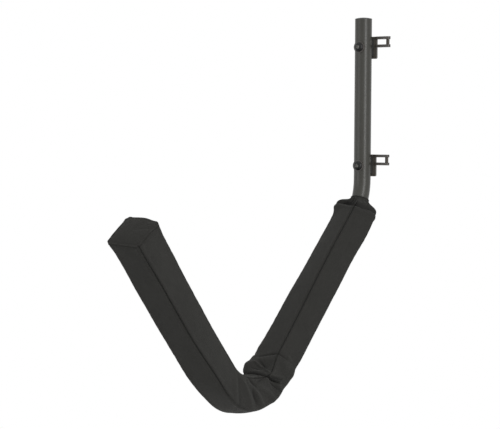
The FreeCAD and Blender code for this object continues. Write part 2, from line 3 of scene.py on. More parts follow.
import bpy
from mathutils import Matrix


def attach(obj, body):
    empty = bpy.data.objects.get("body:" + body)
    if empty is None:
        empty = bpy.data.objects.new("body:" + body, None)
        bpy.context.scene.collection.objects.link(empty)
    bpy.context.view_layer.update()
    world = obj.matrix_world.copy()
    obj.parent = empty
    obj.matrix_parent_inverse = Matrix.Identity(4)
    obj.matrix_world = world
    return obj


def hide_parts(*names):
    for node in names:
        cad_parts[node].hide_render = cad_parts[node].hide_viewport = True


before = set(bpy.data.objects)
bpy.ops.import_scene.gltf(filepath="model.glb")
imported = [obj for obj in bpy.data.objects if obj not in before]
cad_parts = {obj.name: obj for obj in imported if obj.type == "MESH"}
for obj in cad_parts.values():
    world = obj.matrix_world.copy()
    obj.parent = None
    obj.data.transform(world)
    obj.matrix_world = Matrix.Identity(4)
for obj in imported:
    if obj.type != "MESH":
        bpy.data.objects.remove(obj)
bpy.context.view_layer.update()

import math

import bpy
import numpy as np
from bpy.props import FloatProperty, FloatVectorProperty, PointerProperty
from mathutils import Matrix, Vector

bl_info = {
    "name": "Padded wall hanger",
    "version": (1, 0, 0),
    "blender": (4, 5, 0),
    "location": "View3D > Sidebar > Hanger",
    "description": "Sews the pad of a wall hanger and finishes its tube and brackets",
    "category": "Object",
}

MM = 0.001
FULL_TURN = 2 * math.pi
WHITE = (1.0, 1.0, 1.0, 1.0)
BODY = "arm"
HINGES = ("lower", "upper")


def number(name, description, default, **options):
    return FloatProperty(name=name, description=description, default=default, **options)


def length(name, description, metres):
    return number(name, description, metres, unit="LENGTH", precision=5)


def angle(name, description, degrees):
    return number(name, description, math.radians(degrees), subtype="ANGLE")


def power(name, description, watts):
    return number(name, description, watts, unit="POWER")


def vector(name, description, default, **options):
    return FloatVectorProperty(name=name, description=description, default=default, size=3, **options)


def colour(name, description, linear):
    return vector(name, description, linear, min=0.0, max=1.0, subtype="COLOR")


def place(name, description, metres):
    return vector(name, description, metres, subtype="TRANSLATION", unit="LENGTH")


class HANGER_PG_pad(bpy.types.PropertyGroup):
    """Sizes of the foam pad and its sewn cover."""

    upper_corner: place("Upper corner", "Corner of the tube above the pad", (-0.033, -0.01565, -0.0625))
    wall_turn: angle("Wall arm turn", "Turn of the wall arm from straight down", 49.0)
    vee_turn: angle("V turn", "Turn of the bend at the bottom of the V", 90.0)
    start: length("Pad start", "Upper corner to the neck end of the foam", 0.024)
    wall_run: length("Wall run", "Straight part of the pad on the wall arm", 0.3105)
    bend_radius: length("Bend radius", "Centreline radius of the bottom of the V", 0.102)
    outer_run: length("Outer run", "Straight part of the sleeve on the outer arm", 0.2605)
    side: length("Side", "Width of the pad over its crowned faces", 0.0464)
    crown_radius: length("Crown radius", "Radius of the crown of each face", 0.150)
    edge_radius: length("Edge radius", "Radius of the long edges", 0.0055)
    tube_radius: length("Tube radius", "Outside radius of the tube in the pad", 0.0127)
    upper_bend_radius: length("Upper bend radius", "Centreline radius of the tube's upper bend", 0.076)
    roll: angle("Sleeve roll", "How far the sleeve has slipped round the wall arm", 20.0)
    cloth: length("Cloth", "Thickness of the cover's cloth", 0.0011)
    seam_depth: length("Seam depth", "How deep a seam draws the cloth in", 0.0012)
    seam_width: length("Seam width", "Half width of the groove at a seam", 0.0008)
    neck_seam: length("Neck seam", "Rise of the neck seam over the foam's end", 0.008)
    neck_dip: length("Neck dip", "Dip of the neck seam at the front edge", 0.019)
    neck_puff: length("Neck puff", "Rise of the neck panel's rim over its seam", 0.0132)
    hem_lean: angle("Hem lean", "Lean of the tube from upright where the cloth ends", 24.2)
    tip_slant: length("Tip slant", "Half the slant of the tip from left to right", 0.0026)


class HANGER_PG_finish(bpy.types.PropertyGroup):
    """Colours of the cloth, coatings, metal and floor."""

    cloth: colour("Cloth", "Darker yarn of the cover cloth", (0.0266, 0.0263, 0.0245))
    cloth_thread: colour("Cloth thread", "Lighter yarn of the cover cloth", (0.0388, 0.0382, 0.0352))
    weave_gap: colour("Weave gap", "Shade between the yarns", (0.004, 0.004, 0.0035))
    # Painted shade: the colour that seams, valleys, the neck's recess and the tip's seam are darkened
    # towards, standing in for their shadow.
    painted_shade: colour("Crease", "Shade in the seams and valleys of the cloth", (0.003, 0.003, 0.0027))
    sheen: colour("Sheen", "Bloom on the nap of the cloth", (0.8, 0.79, 0.76))
    tube: colour("Tube", "Charcoal coating of the tube", (0.0312, 0.0303, 0.0244))
    # Painted light: the plates' coat is made lighter than the ears' to make up for the shade they stand in
    # beside the tube.
    plate_painted_lighter: colour("Plate", "Dark coating of the hinge plates", (0.0780, 0.0710, 0.0605))
    bracket: colour("Bracket", "Dark coating of the hinge ears and curved washers", (0.0500, 0.0445, 0.0390))
    bolt: colour("Bolt", "Blackened steel of bolts and nuts", (0.0060, 0.0060, 0.0058))
    pin: colour("Pin", "Dark plated steel of the hinge pins", (0.0500, 0.0450, 0.0385))
    plastic: colour("Plastic", "Moulded plastic of the end caps and saddles", (0.0300, 0.0300, 0.0290))
    floor: colour("Floor", "Pale floor", (0.8600, 0.8600, 0.8600))


class HANGER_PG_stage(bpy.types.PropertyGroup):
    """Camera, floor and lamps."""

    camera: place("Camera", "Where the camera stands", (1.0100, -1.9349, 0.0496))
    yaw: angle("Yaw", "Turn of the camera to the left of +Y", 32.96)
    pitch: angle("Pitch", "Tilt of the camera below level", 3.49)
    tilt: angle("Roll", "Roll of the camera", 0.23)
    lens: number("Lens", "Focal length for a 36 mm sensor", 103.97, unit="CAMERA")
    floor_level: length("Floor level", "Height of the floor", -1.15)
    floor_radius: length("Floor radius", "Radius of the floor", 7.0)
    sky: number("Sky", "Strength of the white surround on the object", 0.46)
    key: power("Key", "Power of the tall softbox on the right", 22.0)
    fill: power("Fill", "Power of the softbox on the left", 8.0)
    top: power("Top", "Power of the overhead softbox", 5.0)


class HANGER_PG_settings(bpy.types.PropertyGroup):
    """All settings of the hanger."""

    pad: PointerProperty(type=HANGER_PG_pad)
    finish: PointerProperty(type=HANGER_PG_finish)
    stage: PointerProperty(type=HANGER_PG_stage)


def settings(context):
    return context.scene.wall_hanger


def ease(x, low, high):
    """Smooth step: 0 below low, 1 above high, 3x^2 - 2x^3 between."""
    x = np.clip((np.asarray(x, float) - low) / (high - low), 0.0, 1.0)
    return x * x * (3.0 - 2.0 * x)


def span(x, rise, fall):
    """1 between a smooth step up and one down, each given by where it starts and ends."""
    return ease(x, *rise) * (1.0 - ease(x, *fall))


def bell(x, width):
    """Gaussian bump of height 1: exp(-(x / width)^2)."""
    return np.exp(-((np.asarray(x, float) / width) ** 2))


def mound(x, height, width, at=0.0):
    """Gaussian bump of a given height."""
    return height * bell(x - at, width)


def steps_round(count, whole):
    """Even places round a closed way, the first at 0."""
    return np.arange(count) / count * whole


LUMP_WAVES = 10
LUMP_PHASES = 6.28


class PadShape:
    """Centreline and outline of the pad.

    A place along the pad is a length s from the neck end of the foam: straight down the wall arm, round an
    arc and straight up the outer arm. Inward is into the V, and the third direction is +X.

    The outline is four crowned faces joined by round edges. Each face is an arc of the crown radius R between
    two edge arcs of radius r. The edge centres stand at (c, c), with c from (R - r)^2 = c^2 + (c + R - a)^2,
    where a is half the side. A place round the pad is a length along the outline from the middle of the right
    face; seams lie at the middle of the edges.
    """

    def __init__(self, sizes):
        self.sizes = sizes
        turn = sizes.wall_turn
        self.down = np.array([0.0, -math.sin(turn), -math.cos(turn)])
        self.inward = np.cross(self.down, [1.0, 0.0, 0.0])
        self.neck = np.array(sizes.upper_corner) + sizes.start * self.down
        self.bend_start = sizes.wall_run
        self.bend_end = sizes.wall_run + sizes.bend_radius * sizes.vee_turn
        self.end = self.bend_end + sizes.outer_run
        self.half = sizes.side / 2
        self.crown = sizes.crown_radius
        self.edge = sizes.edge_radius
        back = self.crown - self.half
        self.corner = (math.sqrt(2 * (self.crown - self.edge) ** 2 - back**2) - back) / 2
        swing = math.atan2(self.corner, self.corner + back)
        self.flat = self.crown * swing
        self.reach = self.flat + self.edge * (math.pi / 4 - swing)
        self.face = 2 * self.reach
        self.round = 4 * self.face
        self.front_seam = self.reach
        self.left_seam = 3 * self.reach
        self.lower_seam = -self.reach

    def centre_at(self, s):
        """Point of the centreline, heading and inward direction at lengths s."""
        s = np.asarray(s, float)[..., None]
        radius = self.sizes.bend_radius
        turned = np.clip((s - self.bend_start) / radius, 0.0, self.sizes.vee_turn)
        heading = np.cos(turned) * self.down + np.sin(turned) * self.inward
        inward = -np.sin(turned) * self.down + np.cos(turned) * self.inward
        middle = self.neck + self.bend_start * self.down + radius * self.inward
        before = np.minimum(s - self.bend_start, 0.0)
        after = np.maximum(s - self.bend_end, 0.0)
        return middle - radius * inward + (before + after) * heading, heading, inward

    def face_at(self, arc):
        """Way across a face, way out and slope of the normal, by the arc from the face's middle."""
        arc = np.asarray(arc, float)
        far = np.abs(arc)
        slope = np.minimum(far, self.flat) / self.crown + np.maximum(far - self.flat, 0.0) / self.edge
        on_crown = far <= self.flat
        across = np.where(on_crown, self.crown * np.sin(slope), self.corner + self.edge * np.sin(slope))
        crowned = self.crown * np.cos(slope) - (self.crown - self.half)
        out = np.where(on_crown, crowned, self.corner + self.edge * np.cos(slope))
        side = np.sign(arc)
        return side * across, out, side * slope

    def gap(self, around, spot):
        """Shortest way round the pad from a spot, with its sign."""
        return (around - spot + self.round / 2) % self.round - self.round / 2

    def seam_gap(self, around):
        """Distance round the pad from the nearest long seam."""
        return self.reach - np.abs((around + self.reach) % self.face - self.reach)

    def lumps(self, s, around, size, seed):
        """Smooth unevenness: the mean of cosine waves of about one size, whole waves round the pad."""
        rng = np.random.default_rng(seed)
        total = 0.0
        for _ in range(LUMP_WAVES):
            heading = rng.uniform(0.0, math.pi)
            turns = round(self.round / size * math.cos(heading))
            along = FULL_TURN / size * math.sin(heading)
            phase = rng.uniform(0, LUMP_PHASES)
            total = total + np.cos(along * s + FULL_TURN * turns * around / self.round + phase)
        return total / LUMP_WAVES


# Roll of the sleeve along the pad: change in its share, and where the change starts and ends, in metres.
ROLL_CHANGES = (
    (-0.35, 0.08, 0.30),
    (-0.23, 0.30, 0.41),
    (0.12, 0.41, 0.46),
    (-0.47, 0.46, 0.58),
    (-0.07, 0.66, 0.72),
)

# Where a seam is held back from the roll: share, place along the pad and half length there, in metres.
FOLDS_HOLD = (0.6, 0.350, 0.026)
TIP_HOLD = (0.2, 0.731, 0.030)
HOLD_WIDTH = 0.020


def sleeve_roll(pad, s, around):
    """Turn of the section round the tube: most at the neck, little up the outer arm and none at the tip.

    Its share changes by smooth steps along the pad. The folds at the bend hold the front seam back, and the
    tip the inner left corner, each by a bell both ways.
    """
    share = 1.0
    for change, start, end in ROLL_CHANGES:
        share = share + change * ease(s, start, end)
    for (held, spot, half_long), seam in ((FOLDS_HOLD, pad.front_seam), (TIP_HOLD, pad.left_seam)):
        share = share - mound(s, held, half_long, at=spot) * bell(pad.gap(around, seam), HOLD_WIDTH)
    return pad.sizes.roll * share


BOW_STEPS = 6


def fan(first, last, rises, widths, bow=0.0):
    """Folds side by side: their starts, and their ends, spread evenly from the first line to the last."""
    shares = np.linspace(0.0, 1.0, len(rises))
    lines = [(1.0 - share) * np.array(first, float) + share * np.array(last, float) for share in shares]
    return [(*line, bow, rise, width) for line, rise, width in zip(lines, rises, widths)]


# Folds of the cover, in mm: start and end (length along the pad, place round it), bow of the line, rise,
# which is below zero in a valley, and half width. Round the pad the faces are centred at 0, 41, 82 and 123:
# right, inner, left and outer.
SLACK_FOLDS = [
    ((310, 50), (300, 5), 0, -2.3, 2.0),
    ((295, 10), (295, -5), 0, 0.7, 2.8),
    ((310, 20), (340, 25), 0, 1.1, 2.0),
    ((325, 50), (350, 20), 0, 2.6, 2.6),
    ((320, 45), (345, 25), 0, -2.0, 2.0),
    ((340, 50), (345, 35), 0, -1.6, 2.2),
    ((305, 60), (300, 95), 0, -2.4, 2.4),
    ((330, 65), (315, 90), 0, -1.8, 2.4),
]
DEEP_FOLD = [
    ((340, 80), (360, 25), 3, -8.5, 3.0),
    ((345, 80), (365, 25), 3, -3.0, 2.4),
    *fan(((345, 15), (325, -5)), ((360, 25), (335, -5)), (2.6, -2.6, 2.0, -6.5), (2.6, 1.6, 1.3, 1.9)),
]
RIGHT_FOLDS = [
    *fan(((445, 15), (405, -15)), ((390, 10), (355, -20)), (2.2, 2.4, 2.4), (6.0, 4.8, 5.2), -6),
    *fan(((455, 10), (435, -25)), ((445, 10), (430, -20)), (1.0, -1.1), (5.6, 5.0)),
    ((415, 20), (395, 10), 0, -2.2, 2.2),
    ((405, 5), (390, -15), 0, -2.4, 3.4),
    ((390, 15), (365, 20), 0, -2.0, 1.8),
    ((355, 10), (340, -15), 0, -2.4, 2.4),
    ((340, -5), (335, -15), 0, 1.5, 3.4),
]
INNER_FOLDS = fan(
    ((385, 60), (375, 25)), ((440, 60), (440, 30)), (2.0, -2.6, 1.6, -2.0, 1.0), (4.0, 2.6, 4.2, 2.8, 4.4)
)
LEFT_FOLDS = fan(
    ((370, 70), (350, 95)), ((440, 70), (430, 95)), (2.0, -2.4, 2.0, -2.0, 1.4), (3.6, 2.6, 3.8, 2.8, 4.2)
)
FOLDS = SLACK_FOLDS + DEEP_FOLD + RIGHT_FOLDS + INNER_FOLDS + LEFT_FOLDS

# Swellings of the cover: centre along and round the pad, rise, half length and half width, in mm.
SWELLS = (
    (330, 60, 7.0, 13, 14),
    (310, 60, 2.5, 9, 10),
    (290, 60, 1.5, 12, 12),
    (315, 40, 2.0, 9, 14),
    (335, 40, -2.0, 9, 12),
    (310, 0, 2.0, 9, 11),
    (295, -20, -1.0, 9, 14),
    (305, -20, 1.5, 8, 14),
    (330, -20, -1.0, 8, 16),
    (345, -20, 1.0, 9, 16),
    (395, 125, 1.5, 16, 18),
    (450, 115, -4.5, 26, 26),
    (470, 20, 1.5, 32, 12),
    (730, 35, 2.0, 16, 13),
    (730, 80, -2.5, 16, 16),
    (30, -20, 1.5, 28, 14),
    (400, 40, 1.5, 32, 24),
    (0, 60, 5.0, 14, 12),
    (600, 100, 2.0, 110, 12),
    (690, 20, 1.5, 40, 10),
    (220, 60, 1.0, 80, 10),
)


def fold_line(start, end, bow):
    """Points of a fold's line: the straight way from start to end, moved aside by bow times 4t(1 - t)."""
    start, end = np.array(start, float), np.array(end, float)
    t = np.linspace(0.0, 1.0, BOW_STEPS + 1 if bow else 2)[:, None]
    way = (end - start) / np.linalg.norm(end - start)
    aside = np.array([-way[1], way[0]])
    return (start + t * (end - start) + 4.0 * t * (1.0 - t) * bow * aside) * MM


def nearest_on_line(pad, points, s, around):
    """Distance of places on the pad from a line of points, and how far along it they lie, from 0 to 1."""
    steps = np.hypot(*np.diff(points, axis=0).T)
    lengths = np.concatenate([[0.0], np.cumsum(steps)])
    nearest = np.full(np.broadcast(s, around).shape, np.inf)
    along = np.zeros(nearest.shape)
    for start, stop, before, step in zip(points[:-1], points[1:], lengths, steps):
        way = (stop - start) / step
        down = s - start[0]
        aside = pad.gap(around, start[1])
        part = np.clip(down * way[0] + aside * way[1], 0.0, step)
        away = np.hypot(down - part * way[0], aside - part * way[1])
        closer = away < nearest
        nearest = np.where(closer, away, nearest)
        along = np.where(closer, (before + part) / lengths[-1], along)
    return nearest, along


VALLEY_POWER = 1.25


def fold_relief(pad, s, around):
    """Rise of the folds and swellings, and how much of it is valleys.

    A fold rises by a bell of the distance to its line; a valley falls by exp(-(distance / width)^1.25), which
    has a sharper bottom. At t along its line a fold has 0.35 + 0.65 sin(pi (0.08 + 0.84 t)) of its rise, and
    it is narrower where it is lower. A swelling is a bell both ways.
    """
    rise = np.zeros(np.broadcast(s, around).shape)
    depth = np.zeros(rise.shape)
    for first, last, bow, height, width in FOLDS:
        away, along = nearest_on_line(pad, fold_line(first, last, bow), s, around)
        taper = 0.35 + 0.65 * np.sin(math.pi * (0.08 + 0.84 * along))
        wide = width * MM * (0.6 + 0.4 * taper)
        form = bell(away, wide) if height > 0 else np.exp(-((away / wide) ** VALLEY_POWER))
        rise += height * MM * taper * form
        depth += max(-height, 0.0) * MM * taper * form
    for centre, place_round, height, half_long, half_wide in SWELLS:
        gap = pad.gap(around, place_round * MM)
        rise += height * MM * bell(s - centre * MM, half_long * MM) * bell(gap, half_wide * MM)
    return rise, depth


# Steps up and down, along the pad, of the slack cloth above the bend and the cloth pulled tight outside it.
SLACK = ((0.285, 0.300), (0.335, 0.350))
PULLED = ((0.30, 0.34), (0.438, 0.472))
PULLED_WIDTH = 0.015

# Unevenness of the cloth: size of its waves in metres and seed of their directions.
FOAM_SLOW = (0.075, 3)
FOAM_FINE = (0.028, 8)
SEAM_PUCKER = (0.013, 5)
TIP_GATHER = (0.011, 21)

# Places round the neck: where its seam is drawn in, where it sags and where its rim is tucked in.
NECK_DRAWN = 36.0 * MM
NECK_SAG = 46.0 * MM
NECK_TUCK = 38.0 * MM

# Depth of a valley, and draw of the neck seam, at which the painted shade on the cloth is full.
DARK_VALLEY = 5.5 * MM
DARK_DRAW = 4.4 * MM


def painted_seam_shade(pad, s):
    """Strength of the painted shade in the seams along the pad: softer in the slack above the bend and
    towards the tip.
    """
    return 1.0 - 0.4 * span(s, *SLACK) - mound(pad.end - s, 0.95, 0.028)


def neck_line(pad, around):
    """Where the neck panel is sewn on, along the pad: lower at the front edge and the inner left corner."""
    front = pad.gap(around, pad.front_seam)
    left = pad.gap(around, pad.left_seam)
    sag = pad.gap(around, NECK_SAG)
    dip = mound(front, pad.sizes.neck_dip, 24.0 * MM) + mound(sag, 2.2 * MM, 13.0 * MM)
    return -pad.sizes.neck_seam + dip + mound(left, pad.sizes.neck_seam, 16.0 * MM)


def tip_line(pad, around):
    """Where the tip panel is sewn on, along the pad: slanting, and lower at both inner corners."""
    front = pad.gap(around, pad.front_seam)
    left = pad.gap(around, pad.left_seam)
    drawn = mound(front, 2.0, 15.0 * MM) + mound(left, 0.6, 20.0 * MM)
    return pad.end - pad.sizes.tip_slant * (np.cos(FULL_TURN * around / pad.round) + drawn)


def sleeve_relief(pad, s, around):
    """How far the cover stands out from the plain outline at places along and round the pad.

    Sum of the groove and soft ridge at each long seam, puckers beside it, slow unevenness of the foam, the
    drawn-in ends with a ridge beside their seams, and the folds. The second result, from 0 to 1, is painted
    shade: how far the colour is darkened in seams and valleys, at the neck's seam and at the tip's seam.
    """
    gap = pad.seam_gap(around)
    lower = pad.gap(around, pad.lower_seam)
    stretched = 1.0 - 0.95 * span(s, *PULLED) * bell(lower, PULLED_WIDTH)
    groove = mound(gap, -pad.sizes.seam_depth * stretched, pad.sizes.seam_width)
    ridge = mound(gap, 0.3 * pad.sizes.seam_depth, 2.4 * MM, at=3.4 * MM)
    pucker = 0.3 * MM * pad.lumps(s, around, *SEAM_PUCKER) * bell(gap, 5.0 * MM)
    foam = 0.55 * MM * pad.lumps(s, around, *FOAM_SLOW) + 0.22 * MM * pad.lumps(s, around, *FOAM_FINE)
    tip = tip_line(pad, around) - s
    tip_edge = mound(tip, 0.2 * MM, 1.0 * MM) - mound(tip, 0.2 * MM, 1.4 * MM, at=2.2 * MM)
    tip_edge = tip_edge + mound(tip, 0.9 * MM, 9.0 * MM) * bell(gap, 6.0 * MM)
    tip_edge = tip_edge + mound(tip, 0.8 * MM, 20.0 * MM)
    gather = pad.lumps(0.0, around, *TIP_GATHER)
    tip_pucker = mound(tip, 0.4 * MM * gather, 5.0 * MM, at=4.0 * MM)
    neck = s - neck_line(pad, around)
    drawn = 1.0 * MM + mound(pad.gap(around, NECK_DRAWN), 3.4 * MM, 16.0 * MM)
    neck_edge = mound(neck, 0.8 * MM, 4.0 * MM, at=6.0 * MM) - mound(neck, drawn, 2.2 * MM)
    folds, valleys = fold_relief(pad, s, around)
    rise = groove + ridge + pucker + foam + tip_edge + tip_pucker + neck_edge + folds
    # Painted shade: seams, valleys and the neck's drawn-in seam darken the colour, and the tip's seam a
    # little, standing in for their shadow.
    seam = 0.4 * painted_seam_shade(pad, s) * stretched * bell(gap, 1.2 * MM)
    painted_shade = valleys / DARK_VALLEY + seam + mound(neck, drawn / DARK_DRAW, 3.4 * MM)
    return rise, np.clip(painted_shade + mound(tip, 0.08, 1.0 * MM), 0.0, 1.0)


def on_pad(pad, s, around, out_extra, roll):
    """Points of the outline, moved out along its normal, rolled and carried to their place along the pad."""
    centre, _, inward = pad.centre_at(s)
    face = np.floor((around + pad.reach) / pad.face)
    across, out, slope = pad.face_at(around - face * pad.face)
    across = across + out_extra * np.sin(slope)
    out = out + out_extra * np.cos(slope)
    turn = roll + face * math.pi / 2
    side = across * -np.sin(turn) + out * np.cos(turn)
    rise = across * np.cos(turn) + out * np.sin(turn)
    points = centre + rise[..., None] * inward
    points[..., 0] += side
    return points


def add_object(name, data):
    made = bpy.data.objects.new(name, data)
    bpy.context.scene.collection.objects.link(made)
    return made


def make_mesh(name, vertices, faces, coordinates, painted_shade=None, thickness=0.0):
    """Mesh from whole arrays: faces padded with -1, and a texture place and painted shade for each vertex. A
    sheet gets its thickness on the inner side."""
    mesh = bpy.data.meshes.new(name)
    counts = (faces >= 0).sum(axis=1)
    corners = faces[faces >= 0]
    mesh.vertices.add(len(vertices))
    mesh.vertices.foreach_set("co", np.ascontiguousarray(vertices, np.float32).ravel())
    mesh.loops.add(len(corners))
    mesh.loops.foreach_set("vertex_index", corners.astype(np.int32))
    mesh.polygons.add(len(faces))
    mesh.polygons.foreach_set("loop_start", np.concatenate([[0], np.cumsum(counts)[:-1]]).astype(np.int32))
    mesh.update(calc_edges=True)
    layer = mesh.uv_layers.new(name="cloth")
    layer.data.foreach_set("uv", coordinates[corners].astype(np.float32).ravel())
    # The painted shade is kept as a vertex attribute that darkens the cloth's colour.
    if painted_shade is not None:
        depth = mesh.attributes.new("painted_shade", "FLOAT", "POINT")
        depth.data.foreach_set("value", painted_shade.astype(np.float32).ravel())
    if mesh.validate():
        raise RuntimeError(f"{name}: the mesh needed repair")
    mesh.shade_smooth()
    piece = add_object(name, mesh)
    if thickness:
        shell = piece.modifiers.new("thickness", "SOLIDIFY")
        shell.thickness = thickness
        shell.offset = -1.0
    return piece


def grid_faces(rows, columns, closed=False, closed_rows=False):
    """Quads of a grid of vertices, with its last column or row joined to its first where it is closed."""
    index = np.arange(rows * columns).reshape(rows, columns)
    if closed_rows:
        index = np.concatenate([index, index[:1]], axis=0)
    if closed:
        index = np.concatenate([index, index[:, :1]], axis=1)
    corners = [index[:-1, :-1], index[:-1, 1:], index[1:, 1:], index[1:, :-1]]
    return np.stack(corners, axis=-1).reshape(-1, 4)


def pole_faces(first, count, pole):
    """Triangles from a ring of vertices to the vertex in its middle, padded like quads."""
    ring = np.arange(count) + first
    return np.stack([ring, np.roll(ring, -1), np.full(count, pole), np.full(count, -1)], axis=1)


# Columns of a panel in mm from its seam: those beside it, and the start, limit and step of the others.
BESIDE_SEAM = (0.0, 0.25, 0.55, 0.9, 1.35, 1.9, 2.6, 3.4)
FACE_COLUMNS = (4.2, 20.0, 0.75)
MIDDLE_ROOM = 0.4 * MM

# Depth of the turned-in rows of a panel, and how far its edge stays from the seam.
TURNED_IN = np.array([4.5, 2.8, 1.5, 0.6]) * MM
SEAM_GAP = 0.12 * MM


def turn_in(places):
    """Places with both ends repeated for the turned-in cloth, and how deep each of them lies."""
    sink = np.concatenate([TURNED_IN, np.zeros(len(places)), TURNED_IN[::-1]])
    count = len(TURNED_IN)
    return np.concatenate([np.full(count, places[0]), places, np.full(count, places[-1])]), sink


def sew_panel(pad, name, face):
    """One long panel of the cover: a grid of length along the pad by arc across a face, the right one first.

    Its long edges lie in the seams and turn in below them; its ends turn in at the neck and the tip. Its rows
    are runs from a start to an end by a step, closer at the neck, in the bend and at the tip.
    """
    runs = (
        (0.0, 0.030, 0.9 * MM),
        (0.030, 0.284, 1.7 * MM),
        (0.284, 0.450, 0.65 * MM),
        (0.450, 0.705, 1.7 * MM),
        (0.705, pad.end, 0.7 * MM),
    )
    parts = [np.arange(start, end - 0.3 * step, step) for start, end, step in runs]
    rows, row_sink = turn_in(np.concatenate([*parts, [pad.end]]))
    from_seam = np.concatenate([BESIDE_SEAM, np.arange(*FACE_COLUMNS)]) * MM
    half = np.concatenate([pad.reach - from_seam[from_seam < pad.reach - MIDDLE_ROOM], [0.0]])
    arcs, column_sink = turn_in(np.concatenate([-half[:-1], half[::-1]]))
    arcs = arcs * (1.0 - SEAM_GAP / pad.reach)
    around = face * pad.face + np.broadcast_to(arcs, (len(rows), len(arcs)))
    along = rows[:, None]
    s = along + neck_line(pad, around) * (1.0 - ease(along, 0.0, 0.05))
    s = s + (tip_line(pad, around) - pad.end) * ease(along, pad.end - 0.06, pad.end)
    relief, painted_shade = sleeve_relief(pad, s, around)
    sink = row_sink[:, None] + column_sink
    tucked = s + 0.6 * row_sink[:, None] * np.where(along < pad.end / 2, 1.0, -1.0)
    points = on_pad(pad, tucked, around, relief - sink, sleeve_roll(pad, s, around))
    places = np.stack([around, s], axis=-1).reshape(-1, 2)
    # The turned-in rows under the seams get painted shade, standing in for the seams' shadow.
    painted_shade = np.where(sink > 0.0, painted_seam_shade(pad, s), painted_shade)
    return make_mesh(name, points.reshape(-1, 3), grid_faces(*s.shape), places, painted_shade, pad.sizes.cloth)


# Rings of the tip panel in mm from its rim: in and beside the seam, then a start, a limit and a step.
TIP_RIM = (2.4, 1.5, 0.7, 0.0, 0.3, 0.7, 1.2, 1.8, 2.5, 3.2, 4.0, 5.0)
TIP_RINGS = (6.2, 22.0, 1.4)
TIP_SINK = (4.0, 2.4, 1.0)
TIP_POINTS = 200
TIP_POLE = 2.45 * MM


def sew_tip(pad, name):
    """Square end panel at the tip: rings of the sleeve's rim drawn in to a pole.

    The height over the rim is a low crown, 1 - exp(-edge / 7 mm) of its full rise, plus a ridge and a furrow
    beside the seam with gathers, and the rim itself turns down into the seam.
    """
    inset = np.concatenate([TIP_RIM, np.arange(*TIP_RINGS)]) * MM
    sink = np.concatenate([TIP_SINK, np.zeros(len(inset) - len(TIP_SINK))]) * MM
    around = steps_round(TIP_POINTS, pad.round)
    s = tip_line(pad, around)
    relief = sleeve_relief(pad, s, around)[0]
    rim = on_pad(pad, s, around, relief - 0.15 * MM, sleeve_roll(pad, s, around))
    centre, heading, _ = pad.centre_at(pad.end)
    spoke = rim - centre
    reach = np.linalg.norm(spoke, axis=-1)
    edge = inset[:, None]
    shrink = (1.0 - edge * np.clip(reach / pad.half, 1.0, 1.25) / reach).clip(0.0)
    gather = pad.lumps(0.0, around, *TIP_GATHER)
    crown = 2.4 * MM * (1.0 - np.exp(-edge / (7.0 * MM)))
    height = crown + mound(edge, 0.25 * MM, 0.8 * MM, at=0.9 * MM)
    height = height + mound(edge, 0.4 * MM * gather, 3.5 * MM, at=3.5 * MM)
    height = height - mound(edge, 0.3 * MM, 1.2 * MM, at=3.0 * MM) + 0.1 * MM - sink[:, None]
    points = centre + spoke * shrink[..., None] + height[..., None] * heading
    pole = centre + TIP_POLE * heading
    rings = len(inset)
    vertices = np.concatenate([points.reshape(-1, 3), pole[None]])
    cap = pole_faces((rings - 1) * TIP_POINTS, TIP_POINTS, rings * TIP_POINTS)
    faces = np.concatenate([grid_faces(rings, TIP_POINTS, closed=True), cap])
    turn = around / pad.round * FULL_TURN
    flat = reach * shrink
    places = np.stack([flat * np.cos(turn), flat * np.sin(turn)], axis=-1).reshape(-1, 2)
    # Painted shade at the tip panel's rim and turned-in rings, standing in for the seam's shadow.
    painted_rim_shade = mound(edge, 0.08, 1.0 * MM) + 0.05 * np.sign(sink)[:, None]
    painted_shade = np.concatenate([np.broadcast_to(painted_rim_shade, shrink.shape).ravel(), [0.0]])
    return make_mesh(name, vertices, faces, np.concatenate([places, [[0.0, 0.0]]]), painted_shade, pad.sizes.cloth)


def tube_ring(sizes, lean, polar, radius):
    """Points round the tube's upper bend where it leans by an angle from upright: a circle square to it.

    The bend's centre stands the bend radius out from the upright part, level with the end of the bend.
    """
    rise = sizes.upper_bend_radius * math.tan(sizes.wall_turn / 2)
    bend = np.array(sizes.upper_corner) + [0.0, -sizes.upper_bend_radius, rise]
    inner = np.array([0.0, -math.cos(lean), math.sin(lean)])
    centre = bend - sizes.upper_bend_radius * inner
    out = np.asarray(radius * np.sin(polar))[..., None] * inner
    out[..., 0] += radius * np.cos(polar)
    return centre + out


def neck_gathers(polar):
    """Uneven waves round the neck, between -1 and 1: 17 waves whose phase swings three times, and 11 more."""
    return 0.6 * np.cos(17 * polar + 1.6 * np.sin(3 * polar + 0.4)) + 0.4 * np.cos(11 * polar + 2.0)


# Neck panel: points round it, rows up it, depths in mm of the rows in the seam, how far its edge lies in
# from the sleeve, and how far down the tube's bend its curves aim.
NECK_POINTS = 224
NECK_ROWS = 40
NECK_SINK = (4.0, 2.6, 1.2)
NECK_INSET = 0.6 * MM
NECK_LOW_LEAN = 0.13


